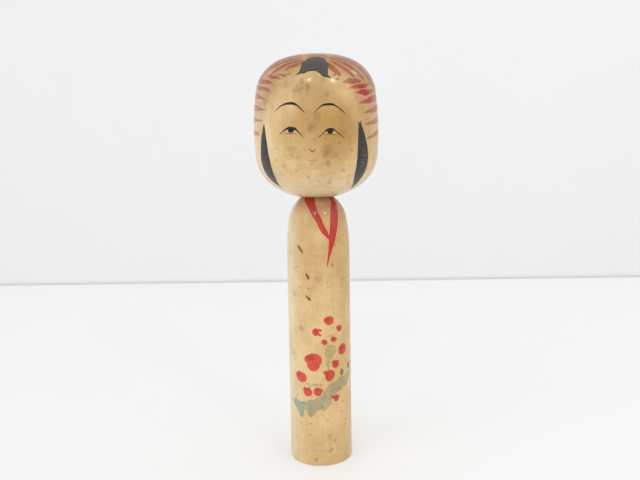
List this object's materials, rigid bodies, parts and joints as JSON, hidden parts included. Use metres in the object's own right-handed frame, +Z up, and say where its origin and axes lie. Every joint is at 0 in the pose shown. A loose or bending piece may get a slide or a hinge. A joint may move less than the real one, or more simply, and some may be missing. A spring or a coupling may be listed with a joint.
{
  "type": "kokeshi doll",
  "caption": "Turned wooden doll: a slender straight body with a rounded shoulder and a large round head on a plug-in neck, so the head turns.",
  "frame": {"origin": "centre of the base, on the surface that the doll stands on", "axes": "+Z up along the turning axis, the doll's face looks along -Y, +X is the doll's left"},
  "size_m": [0.0732, 0.0732, 0.24],
  "materials": {
    "body_wood": "waxed, hand painted with translucent dyes",
    "head_wood": "waxed, hand painted with ink and translucent dyes"
  },
  "bodies": {
    "body": {"body": "body_wood"},
    "head": {"head": "head_wood"}
  },
  "joints": [
    {"name": "head_turn", "type": "hinge", "parent": "body", "child": "head", "pos_m": [0, 0, 0.1583], "axis": [0, 0, 1], "continuous": true}
  ]
}
